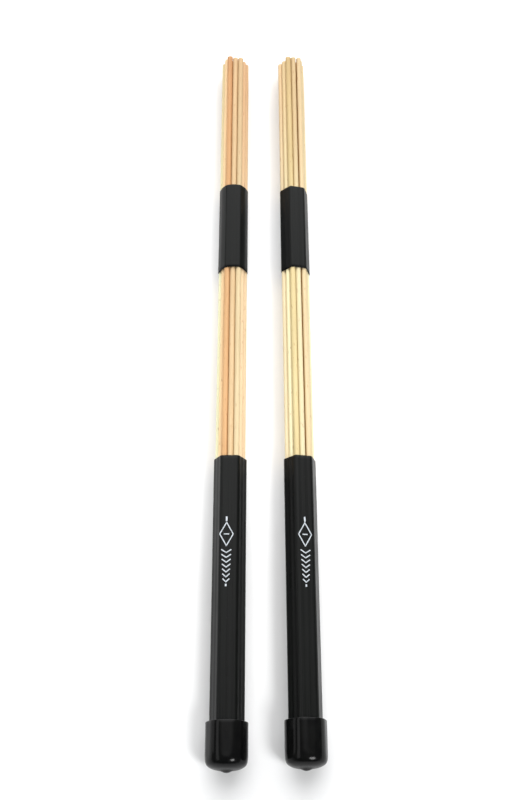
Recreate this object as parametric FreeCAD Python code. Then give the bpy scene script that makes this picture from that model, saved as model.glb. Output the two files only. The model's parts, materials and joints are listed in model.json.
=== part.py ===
"""A pair of multi-rod drum sticks, lying side by side on a flat surface.

Each stick is a bundle of nineteen thin wooden dowels packed in a hexagon: one in the
middle, six round it and twelve outside. A long heat-shrunk sleeve holds the bundle at
the grip, a short band further up can be slid to open or close the spread of the rods,
and a dip-moulded vinyl cap with a small nipple is pushed over the butt.

Row frame, in millimetres: +X to the right, +Y from butt to tip, +Z up. The origin is on
the surface that the sticks lie on, below the middle of the pair.

Each stick is first built along its own axis, with y = 0 at the end of the cap's nipple,
and is then rolled about that axis, tipped until it rests on its cap and its front, and
moved to its side of the pair.
"""

import FreeCAD
import Part

import math
import os

Vector = FreeCAD.Vector
Rotation = FreeCAD.Rotation
Placement = FreeCAD.Placement

# ---------------------------------------------------------------- driving dimensions
OVERALL_LENGTH = 406.0  # nipple end to the longest dowel's tip
BUTT_SPACING = 37.1  # between the two stick axes at the nipples
TOE_IN = 0.325  # each stick points this many degrees towards the other

DOWEL_PITCH = 3.06  # centre to centre of neighbouring dowels
DOWEL_RADIUS_MAX = 1.52  # a full-size dowel: 3.04 mm across
TIP_ROUNDING = 0.45  # tumbled edge at the striking end
BUTT_CHAMFER = 0.2

SLEEVE_WALL = 0.70
SLEEVE_CLEARANCE = 0.01  # shrunk on: the dowels all but touch it

BAND_WALL_BUTT = 0.32  # the wall thins a little towards the tips
BAND_WALL_TIP = 0.22
BAND_CLEARANCE = 0.04  # a sliding fit on the bundle

CAP_RADIUS = 10.1
CAP_RIM = 22.8  # open end of the cap
CAP_FLOOR = 3.0  # inside bottom, where the dowels and the sleeve end
CAP_SQUEEZE = 0.02  # the cap squeezes the sleeve by this much
CAP_RIM_ROUNDING = 0.3
CAP_DOME_START = 6.6  # the straight wall begins here
NIPPLE_LENGTH = 1.1
NIPPLE_TIP_RADIUS = 0.7
NIPPLE_ROOT_RADIUS = 2.3
DOME_SHOULDER_RADIUS = 6.9  # where the nearly flat end turns into the rounded corner
DOME_SHOULDER_RISE = 1.3  # how far the shoulder stands behind the nipple's root

# ---------------------------------------------------------------- the two sticks
# Dowels are numbered from 1: the middle one, the six round it, then the twelve outside.
# Both rings start on the +X side and run anticlockwise seen from the butt end.
# roll: turn of the hexagon about the stick's axis, degrees.
# cap_shift: how far the cap, the sleeve's covered end and the dowels' butts are set forward.
# sleeve_top: where the grip sleeve ends, measured from where an unshifted nipple ends.
# band_start, band_end: the spread bands are not cut to quite the same length.
# band_bulge: how far the band's flats stand off the straight line between corners.
# diameters, setbacks: per dowel; a setback is how far its tip stops short of the end.
# nudges: a dowel of the outer ring that has slid round the ring, in degrees.
STICKS = {
    "left": {
        "side": -1,
        "roll": 0.0,
        "cap_shift": 0.0,
        "sleeve_top": 154.4,
        "band_start": 263.5,
        "band_end": 316.2,
        "band_bulge": 0.40,
        "diameters": [
            3.01,
            2.99, 3.02, 2.97, 3.02, 3.00, 2.98,
            3.01, 3.03, 3.00, 2.93, 3.04, 3.01, 2.99, 3.02, 2.97, 3.00, 3.03, 2.98,
        ],
        "setbacks": [
            1.5,
            2.2, 1.1, 1.7, 0.9, 2.3, 1.4,
            1.8, 2.0, 1.3, 1.0, 0.0, 0.2, 1.5, 1.2, 2.1, 0.8, 1.6, 1.3,
        ],
        "nudges": {11: -0.4},
    },
    "right": {
        "side": 1,
        "roll": -14.5,
        "cap_shift": 0.75,
        "sleeve_top": 154.0,
        "band_start": 263.0,
        "band_end": 314.6,
        "band_bulge": 0.10,
        "diameters": [
            2.99,
            3.02, 2.98, 3.00, 3.03, 2.97, 3.01,
            3.00, 2.99, 2.76, 2.85, 3.04, 3.00, 3.01, 2.97, 3.03, 2.99, 3.01, 2.98,
        ],
        "setbacks": [
            2.0,
            1.2, 2.5, 1.5, 2.1, 1.0, 1.8,
            1.9, 0.8, 0.9, 1.2, 1.6, 3.0, 3.3, 1.8, 1.1, 2.3, 1.4, 2.6,
        ],
        "nudges": {10: -1.5, 11: 0.7},
    },
}

# ---------------------------------------------------------------- worked-out sizes
CORNER_DISTANCE = 2 * DOWEL_PITCH  # axis to the centre of a corner dowel
FLAT_DISTANCE = CORNER_DISTANCE * math.cos(math.radians(30))  # ... of a flat's middle one
HALF_FLAT = CORNER_DISTANCE * math.sin(math.radians(30))

SLEEVE_INSIDE = DOWEL_RADIUS_MAX + SLEEVE_CLEARANCE  # offsets from the outer dowels' centres
SLEEVE_OUTSIDE = SLEEVE_INSIDE + SLEEVE_WALL
SLEEVE_UNDER_CAP = SLEEVE_OUTSIDE - CAP_SQUEEZE
BAND_INSIDE = DOWEL_RADIUS_MAX + BAND_CLEARANCE
BAND_OUTSIDE_BUTT = BAND_INSIDE + BAND_WALL_BUTT
BAND_OUTSIDE_TIP = BAND_INSIDE + BAND_WALL_TIP


def polar(radius, angle_deg, y=0.0):
    """A point of a cross-section: x to the right, z up, y along the stick."""
    angle = math.radians(angle_deg)
    return Vector(radius * math.cos(angle), y, radius * math.sin(angle))


# ---------------------------------------------------------------- cross-sections
def hexagon_wire(offset, bulge, y):
    """The outline round the bundle: an arc about each corner dowel, joined by the flats.

    offset is the arcs' radius about the corner dowels' centres. With a bulge each flat
    is a shallow arc, tangent to the corner arcs, that stands out by that much.
    """
    if bulge > 0:
        sink = (HALF_FLAT**2 - bulge**2) / (2 * bulge) - FLAT_DISTANCE
        half_angle = math.degrees(math.atan2(HALF_FLAT, FLAT_DISTANCE + sink))
    else:
        half_angle = 0.0
    crest = FLAT_DISTANCE + offset + bulge
    edges = []
    for corner in range(6):
        middle = 60 * corner
        centre = polar(CORNER_DISTANCE, middle, y)
        turn = 30 - half_angle  # half of what the corner arc turns through
        start, top, end = (centre + polar(offset, middle + a) for a in (-turn, 0, turn))
        edges.append(Part.Arc(start, top, end).toShape())
        next_start = polar(CORNER_DISTANCE, middle + 60, y) + polar(offset, middle + 60 - turn)
        if bulge > 0:
            edges.append(Part.Arc(end, polar(crest, middle + 30, y), next_start).toShape())
        else:
            edges.append(Part.LineSegment(end, next_start).toShape())
    return Part.Wire(edges)


def hexagon_prism(offset, bulge, y_start, y_end):
    face = Part.Face(hexagon_wire(offset, bulge, y_start))
    return face.extrude(Vector(0, y_end - y_start, 0))


# ---------------------------------------------------------------- sub-parts, each along its own axis
def dowel_centre(number, diameter, nudge):
    """Where a dowel's axis crosses the section. Outer dowels lie against the sleeve."""
    if number == 1:
        return polar(0, 0)
    if number <= 7:
        return polar(DOWEL_PITCH, 60 * (number - 2))
    slack = DOWEL_RADIUS_MAX - diameter / 2
    angle = 30 * (number - 8) + nudge
    off_flat = angle % 60 - 30  # from the normal of the flat that this dowel touches
    distance = (FLAT_DISTANCE + slack) / math.cos(math.radians(off_flat))
    return polar(min(distance, CORNER_DISTANCE + slack), angle)


def dowel(centre, diameter, butt, tip):
    """A straight round rod with a rounded tip and a lightly chamfered butt."""
    radius = diameter / 2
    start = Vector(centre.x, butt, centre.z)
    rod = Part.makeCylinder(radius, tip - butt, start, Vector(0, 1, 0))

    def edge_at(solid, y):
        return [e for e in solid.Edges if e.Closed and abs(e.CenterOfMass.y - y) < 1e-6]

    rod = rod.makeFillet(TIP_ROUNDING, edge_at(rod, tip))
    return rod.makeChamfer(BUTT_CHAMFER, edge_at(rod, butt))


def grip_sleeve(cap_shift, top):
    """Shrunk tubing over the grip, squeezed a little thinner where the cap covers it."""
    butt, rim = CAP_FLOOR + cap_shift, CAP_RIM + cap_shift
    covered = hexagon_prism(SLEEVE_UNDER_CAP, 0, butt, rim)
    grip = hexagon_prism(SLEEVE_OUTSIDE, 0, rim, top)
    inside = hexagon_prism(SLEEVE_INSIDE, 0, butt, top)
    return covered.fuse(grip).cut(inside)


def band(bulge, band_start, band_end):
    """The short tube that slides on the bundle, slightly slimmer at its tip end."""
    butt_end = hexagon_wire(BAND_OUTSIDE_BUTT, bulge, band_start)
    tip_end = hexagon_wire(BAND_OUTSIDE_TIP, bulge, band_end)
    outside = Part.makeLoft([butt_end, tip_end], True, True)
    inside = hexagon_prism(BAND_INSIDE, bulge, band_start - 1, band_end + 1)
    return outside.cut(inside)


def butt_cap(cap_shift):
    """A dipped cap: nipple, shallow end, round corner and straight wall, over the hexagon."""

    def point(radius, y):
        return Vector(radius, y, 0)

    shoulder_y = NIPPLE_LENGTH + DOME_SHOULDER_RISE
    half_way = math.sqrt(0.5)
    nipple = Part.Arc(
        point(0, 0),
        point(NIPPLE_TIP_RADIUS * half_way, NIPPLE_TIP_RADIUS * (1 - half_way)),
        point(NIPPLE_TIP_RADIUS, NIPPLE_TIP_RADIUS),
    )
    root = Part.LineSegment(nipple.EndPoint, point(NIPPLE_ROOT_RADIUS, NIPPLE_LENGTH))
    end = Part.LineSegment(root.EndPoint, point(DOME_SHOULDER_RADIUS, shoulder_y))
    corner_reach = CAP_RADIUS - DOME_SHOULDER_RADIUS
    corner_rise = CAP_DOME_START - shoulder_y
    corner = Part.Arc(
        end.EndPoint,
        point(CAP_RADIUS - 0.26 * corner_reach, shoulder_y + 0.34 * corner_rise),
        point(CAP_RADIUS, CAP_DOME_START),
    )
    wall = Part.LineSegment(corner.EndPoint, point(CAP_RADIUS, CAP_RIM - CAP_RIM_ROUNDING))
    bevel = CAP_RIM_ROUNDING * (1 - half_way)
    rim = Part.Arc(
        wall.EndPoint,
        point(CAP_RADIUS - bevel, CAP_RIM - bevel),
        point(CAP_RADIUS - CAP_RIM_ROUNDING, CAP_RIM),
    )
    top = Part.LineSegment(rim.EndPoint, point(0, CAP_RIM))
    axis = Part.LineSegment(top.EndPoint, point(0, 0))
    curves = (nipple, root, end, corner, wall, rim, top, axis)
    outline = Part.Wire([curve.toShape() for curve in curves])
    body = Part.Face(outline).revolve(Vector(0, 0, 0), Vector(0, 1, 0), 360)
    socket = hexagon_prism(SLEEVE_UNDER_CAP, 0, CAP_FLOOR, CAP_RIM + 1)
    cap = body.cut(socket)
    cap.Placement = Placement(Vector(0, cap_shift, 0), Rotation())
    return cap


# ---------------------------------------------------------------- how a stick lies
def lowest_below_axis(offset, bulge, roll):
    """How far the rolled outline reaches below the stick's axis."""
    corner = max(
        offset - CORNER_DISTANCE * math.sin(math.radians(60 * k + roll)) for k in range(6)
    )
    if bulge <= 0:
        return corner
    sink = (HALF_FLAT**2 - bulge**2) / (2 * bulge) - FLAT_DISTANCE
    half_angle = math.degrees(math.atan2(HALF_FLAT, FLAT_DISTANCE + sink))
    off_centre = min(abs((60 * k + 30 + roll + 90 + 180) % 360 - 180) for k in range(6))
    if off_centre > half_angle:
        return corner
    flat_radius = FLAT_DISTANCE + offset + bulge + sink
    return flat_radius - sink * math.cos(math.radians(off_centre))


def cap_contact(stick):
    """Where along the stick its cap touches down: the wall's end, just behind the rim."""
    return CAP_RIM - CAP_RIM_ROUNDING + stick["cap_shift"]


def rest_angle(stick):
    """The tip-down angle, in degrees, at which the stick lies on its cap.

    Its front touches the surface with the band or with the tips, whichever comes first.
    """
    contact = cap_contact(stick)
    bulge = stick["band_bulge"]
    reaches = [
        (stick["band_start"], lowest_below_axis(BAND_OUTSIDE_BUTT, bulge, stick["roll"])),
        (stick["band_end"], lowest_below_axis(BAND_OUTSIDE_TIP, bulge, stick["roll"])),
        (OVERALL_LENGTH - TIP_ROUNDING, lowest_below_axis(DOWEL_RADIUS_MAX, 0, stick["roll"])),
    ]
    slope = min((CAP_RADIUS - reach) / (y - contact) for y, reach in reaches)
    return math.degrees(math.atan(slope))


def stick_placement(stick):
    """Rolls a stick built along +Y, tips it and lays it on z = 0 on its side of the pair."""
    tilt = rest_angle(stick)
    roll = Rotation(Vector(0, -1, 0), stick["roll"])
    tip_down = Rotation(Vector(1, 0, 0), -tilt)
    toe_in = Rotation(Vector(0, 0, 1), stick["side"] * TOE_IN)
    turn = toe_in.multiply(tip_down).multiply(roll)
    contact = cap_contact(stick)
    height = CAP_RADIUS * math.cos(math.radians(tilt)) + contact * math.sin(math.radians(tilt))
    x = stick["side"] * BUTT_SPACING / 2
    return Placement(Vector(x, -OVERALL_LENGTH / 2, height), turn)


def stick_pieces(stick):
    """Every separate piece of one stick, by name."""
    pieces = {
        "grip_sleeve": grip_sleeve(stick["cap_shift"], stick["sleeve_top"]),
        "spread_band": band(stick["band_bulge"], stick["band_start"], stick["band_end"]),
        "butt_cap": butt_cap(stick["cap_shift"]),
    }
    numbered = enumerate(zip(stick["diameters"], stick["setbacks"]), start=1)
    for number, (diameter, setback) in numbered:
        centre = dowel_centre(number, diameter, stick["nudges"].get(number, 0.0))
        butt, tip = CAP_FLOOR + stick["cap_shift"], OVERALL_LENGTH - setback
        pieces[f"dowel_{number:02d}"] = dowel(centre, diameter, butt, tip)
    return pieces


def main():
    os.makedirs("parts", exist_ok=True)
    for side, stick in STICKS.items():
        placement = stick_placement(stick)
        for name, shape in stick_pieces(stick).items():
            shape.Placement = placement.multiply(shape.Placement)
            shape.exportStep(f"parts/{side}_{name}.step")


main()
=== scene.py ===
"""Looks for a pair of multi-rod drum sticks: bundled dowels, shrunk sleeves, bands and caps.

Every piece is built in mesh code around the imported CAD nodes. Sizes and places are read from
those nodes and from the record's mounts. Lengths on the sticks are millimetres, and MM turns
them into the frame's metres. The lights and the floor are placed in metres.
"""

import json
import math
import random

import bpy
from mathutils import Matrix, Vector, noise


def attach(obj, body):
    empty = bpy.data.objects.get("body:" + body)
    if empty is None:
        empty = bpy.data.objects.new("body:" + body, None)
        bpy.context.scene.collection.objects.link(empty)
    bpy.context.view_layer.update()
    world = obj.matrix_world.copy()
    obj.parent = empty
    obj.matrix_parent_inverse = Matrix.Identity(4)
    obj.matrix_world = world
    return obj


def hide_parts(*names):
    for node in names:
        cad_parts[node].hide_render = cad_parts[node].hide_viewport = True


MM = 0.001
SIDES = ("left", "right")

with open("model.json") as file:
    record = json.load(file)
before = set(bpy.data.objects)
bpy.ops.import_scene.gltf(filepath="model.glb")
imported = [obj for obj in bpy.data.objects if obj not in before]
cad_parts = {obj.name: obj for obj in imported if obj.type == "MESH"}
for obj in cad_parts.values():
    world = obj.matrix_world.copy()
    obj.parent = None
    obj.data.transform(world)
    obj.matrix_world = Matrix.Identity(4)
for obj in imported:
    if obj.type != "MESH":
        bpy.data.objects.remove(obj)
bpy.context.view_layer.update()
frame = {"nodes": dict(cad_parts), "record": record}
NODES = frame["nodes"]
MOUNTS = {m["name"]: m for m in frame["record"]["mounts"]}
SLOTS = {s["node"]: s["material_slot"] for s in frame["record"]["subparts"]}


# ---------------------------------------------------------------- small helpers
def wave(*coords):
    """Smooth noise of about -1 to 1 at a point, the same on every run."""
    x, y, z = (list(coords) + [0.0, 0.0, 0.0])[:3]
    return noise.noise(Vector((x, y, z)))


def mesh_object(name, verts, faces, material, floats=None):
    """A smooth-shaded mesh; floats maps an attribute's name to one number per vertex."""
    mesh = bpy.data.meshes.new(name)
    mesh.from_pydata([tuple(v) for v in verts], [], faces)
    mesh.polygons.foreach_set("use_smooth", [True] * len(mesh.polygons))
    for key, values in (floats or {}).items():
        attribute = mesh.attributes.new(key, "FLOAT", "POINT")
        attribute.data.foreach_set("value", values)
    mesh.materials.append(material)
    mesh.update()
    obj = bpy.data.objects.new(name, mesh)
    bpy.context.scene.collection.objects.link(obj)
    return obj


def ring_faces(rings, around, closed=False):
    """Quads between consecutive rings of the same number of points."""
    faces = []
    pairs = rings if closed else rings - 1
    for i in range(pairs):
        a, b = i * around, ((i + 1) % rings) * around
        for j in range(around):
            k = (j + 1) % around
            faces.append((a + j, a + k, b + k, b + j))
    return faces


class Stick:
    """One stick's own axes: x across, s along from the nipple's end, z out of the printed flat."""

    def __init__(self, side):
        self.side = side
        self.body = f"{side}_stick"
        self.along = -Vector(MOUNTS[f"{side}_butt"]["axis"]).normalized()
        up = Vector(MOUNTS[f"{side}_grip_flat"]["axis"])
        self.up = (up - up.dot(self.along) * self.along).normalized()
        self.across = self.along.cross(self.up)
        self.zero = Vector(MOUNTS[f"{side}_butt"]["pos_m"])
        self.zero += self.along * self.extent("butt_cap")[1][0] * MM

    def point(self, x, s, z):
        return self.zero + (self.across * x + self.along * s + self.up * z) * MM

    def local(self, place):
        d = (place - self.zero) / MM
        return d.dot(self.across), d.dot(self.along), d.dot(self.up)

    def extent(self, part):
        """((x low, x high), (s low, s high), (z low, z high)) of a CAD node on this stick."""
        places = [self.local(v.co) for v in NODES[f"{self.side}_{part}"].data.vertices]
        return tuple((min(c), max(c)) for c in zip(*places))


# ---------------------------------------------------------------- materials
def new_material(name):
    material = bpy.data.materials.new(name)
    material.use_nodes = True
    nodes = material.node_tree.nodes
    return material, nodes, material.node_tree.links, nodes["Principled BSDF"]


def place_vector(nodes, links, scale):
    """Object coordinates stretched by scale: the row frame in metres times these numbers."""
    coords = nodes.new("ShaderNodeTexCoord")
    mapping = nodes.new("ShaderNodeMapping")
    mapping.inputs["Scale"].default_value = scale
    links.new(coords.outputs["Object"], mapping.inputs["Vector"])
    return mapping.outputs["Vector"]


def noise_value(nodes, links, scale, detail=3.0, rough=0.55, distortion=0.0):
    tex = nodes.new("ShaderNodeTexNoise")
    tex.inputs["Scale"].default_value = 1.0
    tex.inputs["Detail"].default_value = detail
    tex.inputs["Roughness"].default_value = rough
    tex.inputs["Distortion"].default_value = distortion
    links.new(place_vector(nodes, links, scale), tex.inputs["Vector"])
    return tex.outputs["Fac"]


def ramp(nodes, links, value, stops, mode="LINEAR"):
    node = nodes.new("ShaderNodeValToRGB")
    node.color_ramp.interpolation = mode
    elements = node.color_ramp.elements
    while len(elements) < len(stops):
        elements.new(0.5)
    for element, (position, colour) in zip(elements, stops):
        element.position = position
        if isinstance(colour, (int, float)):
            colour = (colour, colour, colour)
        element.color = (*colour[:3], 1.0)
    links.new(value, node.inputs["Fac"])
    return node.outputs["Color"]


def mix_colour(nodes, links, factor, a, b, blend="MIX"):
    node = nodes.new("ShaderNodeMix")
    node.data_type = "RGBA"
    node.blend_type = blend
    for socket, value in zip((node.inputs[0], node.inputs[6], node.inputs[7]), (factor, a, b)):
        if isinstance(value, bpy.types.NodeSocket):
            links.new(value, socket)
        elif isinstance(value, (int, float)):
            socket.default_value = value
        else:
            socket.default_value = (*value, 1.0)
    return node.outputs[2]


def math_node(nodes, links, operation, a, b=0.0):
    node = nodes.new("ShaderNodeMath")
    node.operation = operation
    for socket, value in zip(node.inputs, (a, b)):
        if isinstance(value, bpy.types.NodeSocket):
            links.new(value, socket)
        else:
            socket.default_value = value
    return node.outputs[0]


def attribute_value(nodes, name):
    node = nodes.new("ShaderNodeAttribute")
    node.attribute_type = "GEOMETRY"
    node.attribute_name = name
    return node.outputs["Fac"]


def add_bump(nodes, links, shader, heights, distance_mm):
    """Bumps the shader by the sum of (value, weight) pairs."""
    total = None
    for value, weight in heights:
        part = math_node(nodes, links, "MULTIPLY", value, weight)
        total = part if total is None else math_node(nodes, links, "ADD", total, part)
    bump = nodes.new("ShaderNodeBump")
    bump.inputs["Strength"].default_value = 1.0
    bump.inputs["Distance"].default_value = distance_mm * MM
    links.new(total, bump.inputs["Height"])
    links.new(bump.outputs["Normal"], shader.inputs["Normal"])


PALE_WOOD = (0.665, 0.655, 0.430)  # sapwood that some dowels have more of
TIP_PAINTED_SHADE = (0.83, 0.69, 0.59)  # painted shade: darker and yellower towards the tips, where the light falls off
GAP_PAINTED_SHADE = (0.93, 0.60, 0.30)  # painted shade, warm brown, on the sides that face into the bundle, where the dowels shade each other
SHADE_LEAST, SHADE_SWING = 0.88, 0.24  # slow light and dark along each dowel
PORE_STRENGTH, FLECK_STRENGTH = 0.22, 0.55


def wood_material(name, light, dark, fleck):
    """Sanded bare wood with straight grain along Y, fine pores and sparse flecks.

    The mesh says, point by point, how light the dowel is (tone_and_painted_light: its own tone, and
    on some listed dowels painted light that lifts them out of shade), how much pale sapwood it has
    (pale), how much painted shade darkens and yellows it towards the tip (tip_shade), how much
    painted shade lies on its sides that face into the bundle (painted_gap_shade) and whether it
    is end grain (end).
    """
    material, nodes, links, shader = new_material(name)
    streaks = noise_value(nodes, links, (2300, 26, 2300), 4.0, 0.6, 0.4)
    fine = noise_value(nodes, links, (8200, 170, 8200), 2.0, 0.5)
    broad = noise_value(nodes, links, (160, 14, 160), 2.0, 0.5)
    specks = noise_value(nodes, links, (1500, 260, 1500), 2.0, 0.5)
    grain = ramp(nodes, links, streaks, [(0.34, 0.0), (0.66, 1.0)])
    colour = mix_colour(nodes, links, grain, dark, light)
    colour = mix_colour(nodes, links, attribute_value(nodes, "pale"), colour, PALE_WOOD)
    # painted shade: the wood darker and yellower towards the tips
    tip_shade = mix_colour(nodes, links, 1.0, colour, TIP_PAINTED_SHADE, "MULTIPLY")
    colour = mix_colour(nodes, links, attribute_value(nodes, "tip_shade"), colour, tip_shade)
    # painted shade on the sides that face into the bundle
    gap_shaded = mix_colour(nodes, links, 1.0, colour, GAP_PAINTED_SHADE, "MULTIPLY")
    colour = mix_colour(nodes, links, attribute_value(nodes, "painted_gap_shade"), colour, gap_shaded)
    shade = math_node(nodes, links, "MULTIPLY", broad, SHADE_SWING)
    shade = math_node(nodes, links, "ADD", shade, SHADE_LEAST)
    # the dowel's own tone; on some listed dowels, painted light that lifts them out of shade
    shade = math_node(nodes, links, "ADD", shade, attribute_value(nodes, "tone_and_painted_light"))
    colour = mix_colour(nodes, links, 1.0, colour, shade, "MULTIPLY")
    pores = ramp(nodes, links, fine, [(0.30, 1.0), (0.43, 0.0)])
    pores = math_node(nodes, links, "MULTIPLY", pores, PORE_STRENGTH)
    colour = mix_colour(nodes, links, pores, colour, dark, "MULTIPLY")
    marks = ramp(nodes, links, specks, [(0.66, 0.0), (0.74, 1.0)])
    marks = math_node(nodes, links, "MULTIPLY", marks, FLECK_STRENGTH)
    colour = mix_colour(nodes, links, marks, colour, fleck)
    end_rings = noise_value(nodes, links, (5200, 5200, 5200), 2.0, 0.6)
    end_shade = ramp(nodes, links, end_rings, [(0.3, 0.60), (0.7, 0.92)])
    end_colour = mix_colour(nodes, links, 1.0, colour, end_shade, "MULTIPLY")
    colour = mix_colour(nodes, links, attribute_value(nodes, "end"), colour, end_colour)
    links.new(colour, shader.inputs["Base Color"])
    rough = ramp(nodes, links, fine, [(0.3, 0.66), (0.7, 0.50)])
    links.new(rough, shader.inputs["Roughness"])
    shader.inputs["Specular IOR Level"].default_value = 0.2
    add_bump(nodes, links, shader, [(streaks, 0.5), (fine, 0.5)], 0.035)
    return material


LINT_GREY = (0.16, 0.16, 0.15)
LINT_STRENGTH = 0.5


def rubber_material(name, base, lift, rough_low, rough_high, peel_mm, shine):
    """Black shrunk tubing: faint draw lines along it, a fine skin and a dusting of lint."""
    material, nodes, links, shader = new_material(name)
    lines = noise_value(nodes, links, (1500, 9, 1500), 3.0, 0.55)
    skin = noise_value(nodes, links, (2600, 1700, 2600), 3.0, 0.55)
    cloud = noise_value(nodes, links, (90, 40, 90), 2.0, 0.5)
    lint = noise_value(nodes, links, (5200, 5200, 5200), 1.0, 0.5)
    drawn = ramp(nodes, links, lines, [(0.3, 0.0), (0.7, 1.0)])
    colour = mix_colour(nodes, links, drawn, base, lift)
    dust = ramp(nodes, links, lint, [(0.80, 0.0), (0.84, 1.0)])
    dust = math_node(nodes, links, "MULTIPLY", dust, LINT_STRENGTH)
    colour = mix_colour(nodes, links, dust, colour, LINT_GREY)
    links.new(colour, shader.inputs["Base Color"])
    half_cloud = math_node(nodes, links, "MULTIPLY", cloud, 0.5)
    half_lines = math_node(nodes, links, "MULTIPLY", lines, 0.5)
    wear = math_node(nodes, links, "ADD", half_cloud, half_lines)
    rough = ramp(nodes, links, wear, [(0.35, rough_low), (0.65, rough_high)])
    links.new(rough, shader.inputs["Roughness"])
    shader.inputs["Specular IOR Level"].default_value = shine
    add_bump(nodes, links, shader, [(skin, 0.6), (lines, 0.4)], peel_mm)
    return material


VINYL_DEEP = (0.0018, 0.0019, 0.0021)
VINYL_LIFT = (0.0036, 0.0038, 0.0036)
VINYL_WEAR = 0.22  # how much rougher the vinyl is where it is fully worn


def cap_material(name):
    """Glossy dip-moulded vinyl: slow flow waves, a fine skin, and scuffs, most at the end."""
    material, nodes, links, shader = new_material(name)
    flow = noise_value(nodes, links, (330, 140, 330), 2.0, 0.5)
    peel = noise_value(nodes, links, (1500, 1500, 1500), 2.0, 0.5)
    scuff = noise_value(nodes, links, (900, 2600, 900), 4.0, 0.7)
    clouding = ramp(nodes, links, flow, [(0.3, 0.0), (0.7, 1.0)])
    colour = mix_colour(nodes, links, clouding, VINYL_DEEP, VINYL_LIFT)
    links.new(colour, shader.inputs["Base Color"])
    worn = math_node(nodes, links, "MULTIPLY", attribute_value(nodes, "wear"), VINYL_WEAR)
    rough = ramp(nodes, links, scuff, [(0.42, 0.11), (0.74, 0.21)])
    rough = math_node(nodes, links, "ADD", rough, worn)
    links.new(rough, shader.inputs["Roughness"])
    shader.inputs["Specular IOR Level"].default_value = 0.14
    add_bump(nodes, links, shader, [(flow, 0.9), (peel, 0.1)], 0.012)
    return material


def print_material():
    """White ink, a little thin and patchy over the sleeve's skin."""
    material, nodes, links, shader = new_material("print_white")
    patch = noise_value(nodes, links, (1400, 1400, 1400), 4.0, 0.65)
    colour = ramp(
        nodes, links, patch, [(0.30, (0.27, 0.30, 0.33)), (0.62, (0.55, 0.59, 0.63))]
    )
    links.new(colour, shader.inputs["Base Color"])
    rough = ramp(nodes, links, patch, [(0.3, 0.5), (0.7, 0.38)])
    links.new(rough, shader.inputs["Roughness"])
    add_bump(nodes, links, shader, [(patch, 1.0)], 0.01)
    return material


FLOOR_ZERO = 0.5  # where on the tones below the origin lies, in metres along Y
# painted shade: the floor is greyer towards both ends of the sticks, where the light falls off
FLOOR_PAINTED_SHADE = [
    (0.27, (0.695, 0.70, 0.705)),
    (0.38, 0.79),
    (0.47, 0.93),
    (0.58, 0.93),
    (0.70, 0.84),
]
FLOOR_MOTTLE = 0.01  # how far the paper's unevenness shifts the tones, in metres


def floor_material():
    """White paper sweep with painted shade: greyer away from the middle of the sticks, where the
    light falls off.
    """
    material, nodes, links, shader = new_material("studio_floor")
    tint = noise_value(nodes, links, (6, 6, 6), 2.0, 0.5)
    split = nodes.new("ShaderNodeSeparateXYZ")
    links.new(place_vector(nodes, links, (1, 1, 1)), split.inputs["Vector"])
    place = math_node(nodes, links, "ADD", split.outputs["Y"], FLOOR_ZERO)
    mottle = math_node(nodes, links, "MULTIPLY", tint, FLOOR_MOTTLE)
    place = math_node(nodes, links, "ADD", place, mottle)
    colour = ramp(nodes, links, place, FLOOR_PAINTED_SHADE, "EASE")
    links.new(colour, shader.inputs["Base Color"])
    links.new(ramp(nodes, links, tint, [(0.3, 0.7), (0.7, 0.8)]), shader.inputs["Roughness"])
    shader.inputs["Specular IOR Level"].default_value = 0.2
    return material


WOODS = {
    "wood_cream": wood_material(
        "wood_cream", (0.680, 0.560, 0.350), (0.600, 0.470, 0.270), (0.360, 0.160, 0.080)
    ),
    "wood_straw": wood_material(
        "wood_straw", (0.675, 0.505, 0.295), (0.600, 0.425, 0.230), (0.336, 0.152, 0.064)
    ),
    "wood_honey": wood_material(
        "wood_honey", (0.640, 0.540, 0.290), (0.570, 0.455, 0.230), (0.304, 0.128, 0.048)
    ),
    "wood_tan": wood_material(
        "wood_tan", (0.585, 0.360, 0.178), (0.500, 0.280, 0.126), (0.288, 0.096, 0.040)
    ),
    "wood_rose": wood_material(
        "wood_rose", (0.765, 0.600, 0.385), (0.690, 0.510, 0.315), (0.336, 0.120, 0.072)
    ),
}
SLEEVE_BLACK = rubber_material(
    "sleeve_black", (0.0030, 0.0034, 0.0032), (0.0050, 0.0055, 0.0052), 0.24, 0.36, 0.012, 0.13
)
BAND_CHARCOAL = rubber_material(
    "band_charcoal", (0.0042, 0.0048, 0.0046), (0.0062, 0.0068, 0.0066), 0.30, 0.42, 0.014, 0.10
)
CAP_BLACK = cap_material("cap_black")
PRINT_WHITE = print_material()


# ---------------------------------------------------------------- dowels
ROD_AROUND = 30
ROD_HIDDEN_RINGS = (0.0, 60.0, 120.0)  # from the butt; few are needed under the sleeve
ROD_STEP_FROM = 145.0
ROD_STEP = 9.0  # spacing of the rings along the visible part
ROD_LAST_RINGS = (3.0, 1.2)  # short of the tip
ROD_LAST_GAP = 4.0  # the even rings stop this far short of the tip
ROD_BOW = (0.010, 0.028)  # least and most that a dowel wanders off its line
TIP_ROUNDING = (0.30, 0.48)
TIP_LEAN = 0.05  # a tip's face isn't cut dead square: rise for each millimetre across
TIP_STEPS = (0.25, 0.5, 0.75, 1.0)  # shares of the rounding's quarter turn
EDGE_GRAIN = 0.35  # how much of the end grain shows at the rounded edge
FACE_RINGS = (0.82, 0.55, 0.28)  # shares of the face's radius
FACE_DISH = 0.03  # the face is a little dished
FACE_ROUGHNESS = 0.05
OUT_OF_ROUND, KNOCKS = 0.004, 0.012  # a share of the radius, and millimetres
INNER_DOWELS = 7  # the middle dowel and the ring of six round it
CORNER_DOWEL_REACH = 5.7  # dowels further than this from the axis are at the bundle's corners
GAP_EDGE_CORNER, GAP_EDGE_FLAT = -0.05, 0.45  # how far round the painted shade of its gaps begins
GAP_BLEND = 0.5  # over which the painted gap shade comes in
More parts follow.
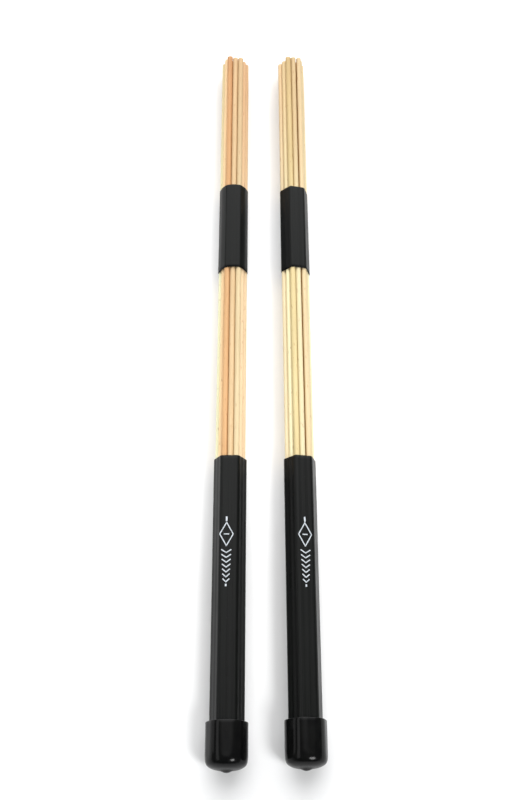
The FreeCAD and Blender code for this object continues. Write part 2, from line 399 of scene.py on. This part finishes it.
CUT_DEPTH = 0.06  # how far the cut sets the tip's face back
TIP_SHADE_FROM = 250.0  # from here to the tip painted shade makes the wood darker and yellower
TONE_SPREAD, USUAL_TIP_SHADE = 0.05, 0.6  # for the dowels that aren't listed below
# the dowels on top, by number: (lighter or darker, partly each dowel's own tone and partly painted
# light that lifts dowels lying in shade; share of pale sapwood; painted shade at the tip)
DOWEL_LOOK = {
    "left": {
        14: (0.19, 1.0, 1.2),
        13: (0.29, 0.0, 0.2),
        12: (0.0, 0.0, 0.7),
        11: (-0.08, 0.0, 0.4),
        10: (-0.08, 0.0, 0.9),
        9: (0.01, 0.0, 1.2),
        8: (-0.08, 0.0, 1.1),
    },
    "right": {
        14: (0.06, 0.4, 0.9),
        13: (0.20, 0.6, 1.2),
        12: (-0.02, 0.0, 0.8),
        11: (-0.02, 0.6, 1.4),
        10: (-0.06, 0.0, 0.4),
        9: (-0.12, 0.4, 0.3),
        8: (0.10, 0.7, 1.2),
    },
}


def dowel_profile(s0, s1, radius, tip_round):
    """Rings of a dowel from butt to tip: (s, share of the radius, share of end grain)."""
    stations = [s0 + s for s in ROD_HIDDEN_RINGS] + [ROD_STEP_FROM]
    while stations[-1] + ROD_STEP < s1 - ROD_LAST_GAP:
        stations.append(stations[-1] + ROD_STEP)
    stations += [s1 - s for s in ROD_LAST_RINGS] + [s1 - tip_round]
    profile = [(s, 1.0, 0.0) for s in stations]
    for step in TIP_STEPS:
        a = step * math.pi / 2
        shrink = 1 - tip_round / radius * (1 - math.cos(a))
        profile.append((s1 - tip_round * (1 - math.sin(a)), shrink, EDGE_GRAIN * step))
    flat = profile[-1][1]
    for part in FACE_RINGS:
        profile.append((s1 - FACE_DISH * (1 - part), flat * part, 1.0))
    return profile


def facing_gap(cx, cz, a):
    """How far a dowel centred on (cx, cz) faces its neighbours at angle a, from 0 to 1: the share
    of painted shade in the gaps there.
    """
    reach = max(math.hypot(cx, cz), 0.1)
    # a corner dowel meets its neighbours further round than one in the middle of a flat
    gap_edge = GAP_EDGE_CORNER if reach > CORNER_DOWEL_REACH else GAP_EDGE_FLAT
    outward = (math.cos(a) * cx + math.sin(a) * cz) / reach
    return max(0.0, min(1.0, (gap_edge - outward) / GAP_BLEND))


def dowel(stick, number, rng):
    """A straight rod with a hand-tumbled tip, very slightly bowed and uneven in thickness."""
    node = f"{stick.side}_dowel_{number:02d}"
    (x0, x1), (s0, s1), (z0, z1) = stick.extent(f"dowel_{number:02d}")
    cx, cz = (x0 + x1) / 2, (z0 + z1) / 2
    radius = (x1 - x0 + z1 - z0) / 4
    seed = rng.uniform(0, 50)
    bow = rng.uniform(*ROD_BOW)
    bow_turn = rng.uniform(0, 2 * math.pi)
    tip_round = rng.uniform(*TIP_ROUNDING)
    lean = (rng.uniform(-TIP_LEAN, TIP_LEAN), rng.uniform(-TIP_LEAN, TIP_LEAN))
    profile = dowel_profile(s0, s1, radius, tip_round)

    verts, ends, tipward, painted_gap_shade = [], [], [], []
    for s, share, end in profile:
        toward_tip = max(0.0, min(1.0, (s - TIP_SHADE_FROM) / (s1 - TIP_SHADE_FROM)))
        off = bow * wave(s * 0.011 + seed, 3.1)
        ox, oz = off * math.cos(bow_turn), off * math.sin(bow_turn)
        for j in range(ROD_AROUND):
            a = 2 * math.pi * j / ROD_AROUND
            r = radius * share * (1 + OUT_OF_ROUND * wave(seed, s * 0.02, math.cos(a)))
            r += KNOCKS * wave(math.cos(a) * 2.2 + seed, s * 0.05, math.sin(a) * 2.2)
            x, z = r * math.cos(a), r * math.sin(a)
            along = s
            if end:
                rough = FACE_ROUGHNESS * wave(x * 2.3 + seed, z * 2.3, 7.7)
                along += min(0.0, rough) + (lean[0] * x + lean[1] * z - CUT_DEPTH) * end
            verts.append(stick.point(cx + ox + x, along, cz + oz + z))
            ends.append(end)
            tipward.append(toward_tip)
            # inner dowels get painted shade all round, outer ones only where they face their
            # neighbours
            gap_shade_share = 1.0 if number <= INNER_DOWELS else facing_gap(cx, cz, a)
            painted_gap_shade.append(gap_shade_share * (1 - end))
    rings = len(profile)
    faces = ring_faces(rings, ROD_AROUND)
    for ring, flip in ((0, True), (rings - 1, False)):
        hub = len(verts)
        first = ring * ROD_AROUND
        centre = sum((verts[first + j] for j in range(ROD_AROUND)), Vector()) / ROD_AROUND
        verts.append(centre)
        ends.append(1.0)
        tipward.append(1.0)
        painted_gap_shade.append(0.0)
        for j in range(ROD_AROUND):
            a, b = first + j, first + (j + 1) % ROD_AROUND
            faces.append((b, a, hub) if flip else (a, b, hub))
    usual = (rng.uniform(-TONE_SPREAD, TONE_SPREAD), 0.0, USUAL_TIP_SHADE)
    tone_and_painted_light, pale, tip_shading = DOWEL_LOOK[stick.side].get(number, usual)
    piece = mesh_object(
        f"{stick.side}_rod_{number:02d}",
        verts,
        [f[::-1] for f in faces],
        WOODS[SLOTS[node]],
        {
            "tone_and_painted_light": [tone_and_painted_light] * len(verts),
            "pale": [pale] * len(verts),
            "tip_shade": [tip_shading * share for share in tipward],
            "painted_gap_shade": painted_gap_shade,
            "end": ends,
        },
    )
    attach(piece, stick.body)
    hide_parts(node)


# ---------------------------------------------------------------- shrunk tubes
ARC_STEPS = 8
FLAT_STEPS = 24
LIP_PARTS = (0.3, 0.6, 0.85)  # shares of the quarter turn at which the lip's rings stand
LIP_FULLNESS = 0.7  # under 1 makes the lip squarer than round
END_REACH = 2.2  # what happens at a cut end dies away over this distance
END_SAG = 0.9  # how much deeper, as a share, the tube sinks at a cut end
LUMPS, RIPPLES = 0.020, 0.008  # slow and quick unevenness of the surface


def hexagon(corner):
    """Once round the bundle: (base x, base z, normal x, normal z, share of the flat)."""
    samples = []
    for k in range(6):
        middle = math.radians(60 * k)
        cx, cz = corner * math.cos(middle), corner * math.sin(middle)
        for i in range(ARC_STEPS):
            a = middle + math.radians(60 * i / ARC_STEPS - 30)
            samples.append((cx, cz, math.cos(a), math.sin(a), 0.0))
        normal, after = middle + math.radians(30), middle + math.radians(60)
        ex, ez = corner * math.cos(after), corner * math.sin(after)
        for i in range(FLAT_STEPS):
            f = i / FLAT_STEPS
            samples.append(
                (cx + (ex - cx) * f, cz + (ez - cz) * f, math.cos(normal), math.sin(normal), f)
            )
    return samples


def tube_path(spec):
    """Rings (s, offset, uneven or not) along the outside, over the tip's lip and back inside."""
    s0, s1, lip, inner = spec["from"], spec["to"], spec["lip"], spec["inner"]
    steps = max(2, int((s1 - s0) / spec["step"]))
    path = []
    for i in range(steps + 1):
        s = s0 + lip + (s1 - s0 - 2 * lip) * i / steps
        share = (s - s0) / (s1 - s0)
        offset = spec["outer_butt"] + (spec["outer_tip"] - spec["outer_butt"]) * share
        path.append((s, offset, True))
    mid = (spec["outer_tip"] + inner) / 2
    half = (spec["outer_tip"] - inner) / 2
    cut_end = []  # the same rings at both ends: (depth from the end, offset, uneven or not)
    for part in LIP_PARTS:
        a = part * math.pi / 2
        cut_end.append((lip * (1 - math.sin(a)), mid + half * math.cos(a) ** LIP_FULLNESS, True))
    cut_end += [(0.0, mid, True), (lip * 0.4, inner + half * 0.25, True), (lip * 1.2, inner, False)]
    path += [(s1 - depth, offset, uneven) for depth, offset, uneven in cut_end]
    path += [(s0 + depth, offset, uneven) for depth, offset, uneven in reversed(cut_end)]
    return path


def shrunk_tube(stick, name, node, material, corner, spec, body):
    """A tube shrunk on to the bundle. It sinks a little between the dowels, more at its ends."""
    samples = hexagon(corner)
    path = tube_path(spec)
    seed = spec["seed"]
    verts = []
    for s, offset, uneven in path:
        end_distance = min(abs(s - spec["from"]), abs(spec["to"] - s))
        near_end = math.exp(-end_distance / END_REACH)
        sag = spec["sag"] * (1 + END_SAG * near_end)
        for bx, bz, nx, nz, f in samples:
            d = offset
            if uneven:
                d -= sag * (0.5 - 0.5 * math.cos(4 * math.pi * f))
                d += spec["bulge"] * 4 * f * (1 - f)
                d += LUMPS * wave(nx * 1.7 + seed, s * 0.035, nz * 1.7)
                d += RIPPLES * wave(nx * 5 + seed, s * 0.16, nz * 5)
                d = max(d, spec["inner"])
            cut = spec["ragged"] * near_end * wave(nx * 1.6 + seed, nz * 1.6, 9.0)
            verts.append(stick.point(bx + nx * d, s + cut, bz + nz * d))
    piece = mesh_object(
        name, verts, ring_faces(len(path), len(samples), closed=True), material
    )
    flip_to_outside(piece)
    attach(piece, body)
    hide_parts(node)


def flip_to_outside(piece):
    """Turns every face outwards; the sign of the enclosed volume says which way they are."""
    mesh = piece.data
    volume = 0.0
    mesh.calc_loop_triangles()
    for tri in mesh.loop_triangles:
        a, b, c = (mesh.vertices[i].co for i in tri.vertices)
        volume += a.dot(b.cross(c))
    if volume < 0:
        mesh.flip_normals()
    mesh.update()


# ---------------------------------------------------------------- butt cap
CAP_AROUND = 144
CAP_CORNER = 3.0  # how six-sided the cap looks where it is stretched over the grip
CAP_RIM = 0.28  # rounding of the rim's outer edge
CAP_WALL_FROM = 7.6  # where the wall is at its full size
CAP_WALL_RINGS = 12
WALL_HEXNESS = 0.8  # how six-sided the wall already is where it starts
ROUNDER_WITHIN = 9.0  # nearer the axis than this the cap is rounder
CAP_LUMPS = 0.04
LUMPS_FADE_WITHIN = 4.0  # nearer the axis than this the lumps die away
CAP_SWELL = 0.03  # the most that a lump stands past the cap's full radius
RIM_PARTS = (0.3, 0.6, 0.85, 1.0)  # shares of the quarter turn at which the rim's rings stand
WEAR_TOWARD_NIPPLE, WEAR_EDGE, WEAR_MOUTH, WEAR_CENTRE = 0.6, 0.25, 0.2, 0.7  # 1 is fully worn
DRIP = 0.25  # the most that the nipple hangs off centre
NIPPLE_REACH = 1.4  # over which it comes back to the middle
RIM_WAVE = 0.12  # the rim isn't dead level
RIM_WAVE_REACH = 1.5
GRIP_CLEARANCE = 0.02
# (distance from the nipple's end, share of the full radius): nipple, shallow end, shoulder
CAP_OUTLINE = (
    (0.0, 0.0),
    (0.05, 0.050),
    (0.22, 0.129),
    (0.62, 0.223),
    (1.05, 0.347),
    (1.35, 0.505),
    (1.70, 0.639),
    (2.12, 0.738),
    (2.60, 0.822),
    (3.15, 0.891),
    (3.90, 0.941),
    (5.20, 0.982),
    (CAP_WALL_FROM, 1.0),
    (9.0, 1.0),
)
# (distance from the rim, share of the way out to the wall, whether the rim's wave reaches it):
# the rim's flat top, its inner edge against the sleeve, and a short way down inside
CAP_MOUTH = (
    (0.0, 0.55, True),
    (0.0, 0.16, True),
    (0.10, 0.03, True),
    (0.45, 0.0, True),
    (2.5, 0.0, False),
)
CAP_FLOOR = 3.0
CAP_INSIDE = ((3.2, 1.0), (CAP_FLOOR, 0.6))  # (s, share of the grip's radius) at the floor


def smooth_line(points, steps):
    """Points on the Catmull-Rom curve through all but the last point, steps to a stretch."""
    first = tuple(2 * a - b for a, b in zip(points[0], points[1]))
    chain = [first, *points]
    line = []
    for p0, p1, p2, p3 in zip(chain, chain[1:], chain[2:], chain[3:]):
        for i in range(steps):
            t = i / steps
            line.append(
                tuple(
                    0.5 * (2 * b + (c - a) * t + (2 * a - 5 * b + 4 * c - d) * t * t
                           + (3 * b - a - 3 * c + d) * t**3)
                    for a, b, c, d in zip(p0, p1, p2, p3)
                )
            )
    line.append(tuple(points[-2]))
    return line


def soft_hexagon_radius(angle, corner, radius):
    """Distance to a hexagon with large round corners; radius is the one across its corners."""
    a = abs((angle + math.pi / 6) % (math.pi / 3) - math.pi / 6)
    rounding = radius - corner
    flat = (corner * math.cos(math.pi / 6) + rounding) / math.cos(math.pi / 6 - a)
    from_middle = flat * math.sin(math.pi / 6 - a)
    if from_middle <= corner / 2:
        return flat
    return corner * math.cos(a) + math.sqrt(rounding**2 - (corner * math.sin(a)) ** 2)


def cap_wall_path(big, rim):
    """Rings of the cap's outside from nipple to rim: (s, radius, six-sidedness, wear)."""
    path = []
    for s, share in smooth_line(CAP_OUTLINE, 3)[1:]:
        f = s / CAP_WALL_FROM
        wear = WEAR_TOWARD_NIPPLE * max(0.0, 1 - f)
        path.append((s, big * min(share, 1.0), WALL_HEXNESS * f**2, wear))
    for i in range(1, CAP_WALL_RINGS + 1):
        f = i / CAP_WALL_RINGS
        s = CAP_WALL_FROM + (rim - CAP_RIM - CAP_WALL_FROM) * f
        path.append((s, big, WALL_HEXNESS + (1 - WALL_HEXNESS) * f, 0.0))
    for part in RIM_PARTS:
        a = part * math.pi / 2
        s = rim - CAP_RIM * (1 - math.sin(a))
        path.append((s, big - CAP_RIM * (1 - math.cos(a)), 1.0, WEAR_EDGE * part))
    return path


def butt_cap(stick, corner, sleeve_offset, rng):
    """Dip-moulded cap: nipple, shallow end, round shoulder, soft six-sided wall, rolled rim."""
    (x0, x1), (_, rim), _ = stick.extent("butt_cap")
    big = (x1 - x0) / 2
    seed = rng.uniform(0, 40)
    drip = (rng.uniform(-DRIP, DRIP), rng.uniform(-DRIP, DRIP))
    verts, wears = [], []

    def wall_radius(r, hexness, a, s):
        shape = soft_hexagon_radius(a, CAP_CORNER * hexness * min(1.0, r / ROUNDER_WITHIN), r)
        lumps = CAP_LUMPS * wave(math.cos(a) * 1.4 + seed, s * 0.11, math.sin(a) * 1.4)
        return min(big + CAP_SWELL, shape + lumps * min(1.0, r / LUMPS_FADE_WITHIN))

    def grip_radius(a):
        return soft_hexagon_radius(a, corner, corner + sleeve_offset)

    def mouth_radius(share, a):
        tight = grip_radius(a) + GRIP_CLEARANCE
        return tight + (wall_radius(big - CAP_RIM, 1.0, a, rim) - tight) * share

    def add_ring(s, radius_at, wear, wavy=False):
        """One ring of points; radius_at gives the distance from the axis at an angle."""
        dripping = max(0.0, 1 - s / NIPPLE_REACH)
        for j in range(CAP_AROUND):
            a = 2 * math.pi * j / CAP_AROUND
            d = radius_at(a)
            edge = RIM_WAVE * wave(math.cos(a) + seed, math.sin(a), 4.4) if wavy else 0.0
            x = d * math.cos(a) + drip[0] * dripping
            z = d * math.sin(a) + drip[1] * dripping
            verts.append(stick.point(x, s + edge, z))
            wears.append(wear)

    for s, r, hexness, wear in cap_wall_path(big, rim):
        add_ring(s, lambda a: wall_radius(r, hexness, a, s), wear, s > rim - RIM_WAVE_REACH)
    for depth, share, wavy in CAP_MOUTH:
        add_ring(rim - depth, lambda a: mouth_radius(share, a), WEAR_MOUTH, wavy)
    for s, share in CAP_INSIDE:
        add_ring(s, lambda a: grip_radius(a) * share, 0.0)

    rings = len(verts) // CAP_AROUND
    faces = ring_faces(rings, CAP_AROUND)
    nipple, floor = stick.point(drip[0], 0.0, drip[1]), stick.point(0.0, CAP_FLOOR, 0.0)
    for ring, centre, flip in ((0, nipple, True), (rings - 1, floor, False)):
        hub = len(verts)
        verts.append(centre)
        wears.append(WEAR_CENTRE)
        first = ring * CAP_AROUND
        for j in range(CAP_AROUND):
            a, b = first + j, first + (j + 1) % CAP_AROUND
            faces.append((b, a, hub) if flip else (a, b, hub))
    piece = mesh_object(f"{stick.side}_cap", verts, faces, CAP_BLACK, {"wear": wears})
    flip_to_outside(piece)
    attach(piece, stick.body)
    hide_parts(f"{stick.side}_butt_cap")


# ---------------------------------------------------------------- printed ornament
INK_THICKNESS = 0.035
INK_SUNK = 0.06  # how far the layer reaches down into the sleeve, so that no edge floats
INK_CELLS = 6  # divisions along each stroke, for its uneven edge
INK_JITTER = 0.05
MARK_MIDDLE = 41.8  # the lozenge's middle, from the sleeve's tip end
LOZENGE_HALF_WIDTH, LOZENGE_HALF_LENGTH = 3.3, 6.0
FINE_STROKE, CHEVRON_STROKE, BOLD_STROKE = 0.5, 0.52, 0.8
STEM = (8.8, 6.8)  # where the stem above the lozenge starts and ends
BAR_HALF_WIDTH = 1.15
CHEVRONS = 7
CHEVRON_FROM, CHEVRON_PITCH, CHEVRON_DEPTH = 8.0, 2.45, 1.5
CHEVRON_HALF_WIDTH, CHEVRON_SHRINK = 2.3, 0.13
DOT = (25.45, 26.15)  # where the dot below the chevrons starts and ends


def stroke(points, width):
    """A flat ribbon of the given width along a line of (x, s) points, as quads."""
    quads = []
    for (xa, sa), (xb, sb) in zip(points, points[1:]):
        length = math.hypot(xb - xa, sb - sa)
        ux, us = (xb - xa) / length, (sb - sa) / length
        px, ps = -us * width / 2, ux * width / 2
        ex, es = ux * width * 0.3, us * width * 0.3
        quads.append(
            [
                (xa + px - ex, sa + ps - es),
                (xb + px + ex, sb + ps + es),
                (xb - px + ex, sb - ps + es),
                (xa - px - ex, sa - ps - es),
            ]
        )
    return quads


def ornament(top):
    """A plain frieze below the station top: an open lozenge, shrinking chevrons and a dot."""
    middle = top - MARK_MIDDLE
    wide, high = LOZENGE_HALF_WIDTH, LOZENGE_HALF_LENGTH
    lozenge = [(0, high), (wide, 0), (0, -high), (-wide, 0), (0, high)]
    quads = stroke([(x, middle + s) for x, s in lozenge], FINE_STROKE)
    quads += stroke([(0, middle + s) for s in STEM], BOLD_STROKE)
    quads += stroke([(-BAR_HALF_WIDTH, middle), (BAR_HALF_WIDTH, middle)], FINE_STROKE)
    for i in range(CHEVRONS):
        s = middle - CHEVRON_FROM - CHEVRON_PITCH * i
        arm = CHEVRON_HALF_WIDTH - CHEVRON_SHRINK * i
        quads += stroke([(-arm, s), (0, s - CHEVRON_DEPTH), (arm, s)], CHEVRON_STROKE)
    quads += stroke([(0, middle - s) for s in DOT], BOLD_STROKE)
    return quads


def printed_mark(stick, top, flat_height, shift):
    """The ornament as a thin layer of ink on the printed flat of the sleeve."""
    verts, faces = [], []
    for quad in ornament(top):
        base = len(verts)
        for i in range(INK_CELLS + 1):
            f = i / INK_CELLS
            left = [quad[0][k] + (quad[1][k] - quad[0][k]) * f for k in (0, 1)]
            right = [quad[3][k] + (quad[2][k] - quad[3][k]) * f for k in (0, 1)]
            for x, s in (left, right):
                jitter = INK_JITTER * wave(x * 1.3, s * 1.3, 2.0)
                for lift in (INK_THICKNESS, -INK_SUNK):
                    verts.append(stick.point(x + shift + jitter, s, flat_height + lift))
        for i in range(INK_CELLS):
            a = base + 4 * i
            b = a + 4
            faces += [
                (a, a + 2, b + 2, b),
                (a + 1, b + 1, b + 3, a + 3),
                (a, b, b + 1, a + 1),
                (a + 2, a + 3, b + 3, b + 2),
            ]
        last = base + 4 * INK_CELLS
        faces += [(base, base + 1, base + 3, base + 2), (last, last + 2, last + 3, last + 1)]
    piece = mesh_object(f"{stick.side}_print", verts, faces, PRINT_WHITE)
    piece.data.polygons.foreach_set("use_smooth", [False] * len(faces))
    flip_to_outside(piece)
    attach(piece, stick.body)


# ---------------------------------------------------------------- build both sticks
DOWELS = 19
FIRST_SEED, SEED_STEP = 11, 7
SLEEVE_LOOK = {"inner": 1.53, "step": 1.8, "lip": 0.2, "sag": 0.05, "bulge": 0.0, "ragged": 0.22}
SLEEVE_SEED = 1.3  # times the stick's own seed
BAND_SHAPE = {"inner": 1.56, "step": 1.5, "lip": 0.16, "ragged": 0.25}
BAND_LOOK = {
    "left": {"bulge": 0.36, "sag": 0.03, "seed": 3.7},
    "right": {"bulge": 0.06, "sag": 0.05, "seed": 8.2},
}
MARK_SHIFT = {"left": -1.2, "right": -0.3}  # off the middle of the printed flat
CUT_ZONE = 0.5  # a tube's vertices this near its end are taken as the end's


def grip(stick, corner, seed):
    """The sleeve and the ornament on it. Returns how far the sleeve lies outside the corners."""
    (x0, x1), (s0, s1), _ = stick.extent("grip_sleeve")
    offset = (x1 - x0) / 2 - corner
    spec = {"from": s0, "to": s1, "outer_butt": offset, "outer_tip": offset, **SLEEVE_LOOK}
    spec["seed"] = seed * SLEEVE_SEED
    node = f"{stick.side}_grip_sleeve"
    name = f"{stick.side}_sleeve"
    shrunk_tube(stick, name, node, SLEEVE_BLACK, corner, spec, stick.body)
    flat_height = corner * math.cos(math.pi / 6) + offset
    printed_mark(stick, s1, flat_height, MARK_SHIFT[stick.side])
    return offset


def spread_band(stick, corner):
    """The band, which is a little thinner at its tip end. It rides on its own body."""
    node = f"{stick.side}_spread_band"
    places = [stick.local(v.co) for v in NODES[node].data.vertices]
    s0, s1 = min(p[1] for p in places), max(p[1] for p in places)
    butt = max(p[0] for p in places if p[1] < s0 + CUT_ZONE) - corner
    tip = max(p[0] for p in places if p[1] > s1 - CUT_ZONE) - corner
    spec = {"from": s0, "to": s1, "outer_butt": butt, "outer_tip": tip}
    spec.update(**BAND_SHAPE, **BAND_LOOK[stick.side])
    name = f"{stick.side}_band_tube"
    shrunk_tube(stick, name, node, BAND_CHARCOAL, corner, spec, f"{stick.side}_band")


def build(side, seed):
    rng = random.Random(seed)
    stick = Stick(side)
    ring_x, _, _ = stick.extent("dowel_02")
    corner = ring_x[0] + ring_x[1]  # twice the first ring's distance from the axis
    for number in range(1, DOWELS + 1):
        dowel(stick, number, rng)
    sleeve_offset = grip(stick, corner, seed)
    spread_band(stick, corner)
    butt_cap(stick, corner, sleeve_offset, rng)


for index, side in enumerate(SIDES):
    build(side, FIRST_SEED + SEED_STEP * index)


# ---------------------------------------------------------------- stage, light and camera
FLOOR_REACH = 60.0  # metres


def studio_floor():
    r = FLOOR_REACH
    verts = [(-r, -r, 0), (r, -r, 0), (r, r, 0), (-r, r, 0)]
    floor = mesh_object("studio_floor", verts, [(0, 1, 2, 3)], floor_material())


def panel(name, place, aim, size, watts, shape="RECTANGLE"):
    """A soft light at place (metres) that faces aim; its first side lies level."""
    light = bpy.data.lights.new(name, "AREA")
    light.shape = shape
    light.size, light.size_y = size
    light.energy = watts
    lamp = bpy.data.objects.new(name, light)
    lamp.location = place
    lamp.rotation_mode = "QUATERNION"
    lamp.rotation_quaternion = (Vector(place) - Vector(aim)).to_track_quat("Z", "Y")
    bpy.context.scene.collection.objects.link(lamp)


def soft_box(name, direction, distance, size, watts):
    """A round soft light that faces the middle of the sticks."""
    place = Vector(direction).normalized() * distance
    panel(name, place, (0, 0, 0), size, watts, "ELLIPSE")


SKY_SIDE = (0.04, 0.78, 0.62)  # where the room is brightest, seen from the sticks
SKY_FROM, SKY_FULL = 0.64, 0.97  # how well a direction must agree with that side to brighten
SKY_DIM, SKY_BRIGHT = 0.15, 3.5
HAZE = 0.62  # the pale backdrop low down, all round the room
HAZE_FULL, HAZE_GONE = 0.06, 0.12  # sine of the elevation where it starts and ends to fade


def eased(nodes, links, value, span, results):
    """Goes smoothly from the first of results to the second while value crosses the span."""
    node = nodes.new("ShaderNodeMapRange")
    node.interpolation_type = "SMOOTHSTEP"
    node.inputs["From Min"].default_value, node.inputs["From Max"].default_value = span
    node.inputs["To Min"].default_value, node.inputs["To Max"].default_value = results
    links.new(value, node.inputs["Value"])
    return node.outputs["Result"]


def sky():
    """A dim room that is bright on one side and pale at the horizon."""
    world = bpy.data.worlds.new("studio")
    world.use_nodes = True
    nodes, links = world.node_tree.nodes, world.node_tree.links
    background = nodes["Background"]
    background.inputs["Color"].default_value = (1.0, 1.0, 1.0, 1.0)
    coords = nodes.new("ShaderNodeTexCoord")
    dot = nodes.new("ShaderNodeVectorMath")
    dot.operation = "DOT_PRODUCT"
    dot.inputs[1].default_value = SKY_SIDE
    links.new(coords.outputs["Generated"], dot.inputs[0])
    agreement = dot.outputs["Value"]
    room = eased(nodes, links, agreement, (SKY_FROM, SKY_FULL), (SKY_DIM, SKY_BRIGHT))
    split = nodes.new("ShaderNodeSeparateXYZ")
    links.new(coords.outputs["Generated"], split.inputs["Vector"])
    haze = eased(nodes, links, split.outputs["Z"], (HAZE_FULL, HAZE_GONE), (HAZE, 0.0))
    strength = math_node(nodes, links, "MAXIMUM", room, haze)
    links.new(strength, background.inputs["Strength"])
    bpy.context.scene.world = world


CAMERA_PLACE = (-1.155, -276.89, 610.14)  # millimetres from the origin
CAMERA_PITCH, CAMERA_YAW, CAMERA_ROLL = 66.48, -0.3968, -0.138  # degrees
CAMERA_LENS, CAMERA_SENSOR = 56.65, 36.0
CAMERA_SEES = (0.01, 100.0)  # metres


def studio_camera():
    """Looks down on the sticks from beyond their butts, turned a fraction off their middle."""
    data = bpy.data.cameras.new("camera")
    data.sensor_width = CAMERA_SENSOR
    data.lens = CAMERA_LENS
    data.clip_start, data.clip_end = CAMERA_SEES
    camera = bpy.data.objects.new("camera", data)
    pitch, yaw, roll = (math.radians(a) for a in (CAMERA_PITCH, CAMERA_YAW, CAMERA_ROLL))
    ahead = Vector((-math.sin(yaw), math.cos(yaw), 0))
    right = Vector((math.cos(yaw), math.sin(yaw), 0))
    forward = ahead * math.cos(pitch) - Vector((0, 0, 1)) * math.sin(pitch)
    up = ahead * math.sin(pitch) + Vector((0, 0, 1)) * math.cos(pitch)
    turned_right = right * math.cos(roll) - up * math.sin(roll)
    turned_up = right * math.sin(roll) + up * math.cos(roll)
    axes = Matrix((turned_right, turned_up, -forward)).transposed()
    camera.matrix_world = Matrix.Translation(Vector(CAMERA_PLACE) * MM) @ axes.to_4x4()
    bpy.context.scene.collection.objects.link(camera)
    bpy.context.scene.camera = camera


studio_floor()
soft_box("key", (0.466, -0.533, 0.69), 1.2, (0.42, 0.42), 9.5)
panel("far", (0.0, 1.3, 0.55), (0.0, 0.1, 0.0), (1.8, 0.7), 14.0)
panel("left_strip", (-0.72, -0.05, 0.74), (0.0, -0.1, 0.0), (1.2, 0.34), 2.1)
panel("left_low", (-1.25, 0.55, 0.30), (0.0, 0.0, 0.05), (1.2, 0.45), 1.8)
sky()
studio_camera()
bpy.context.scene.view_settings.view_transform = "Standard"
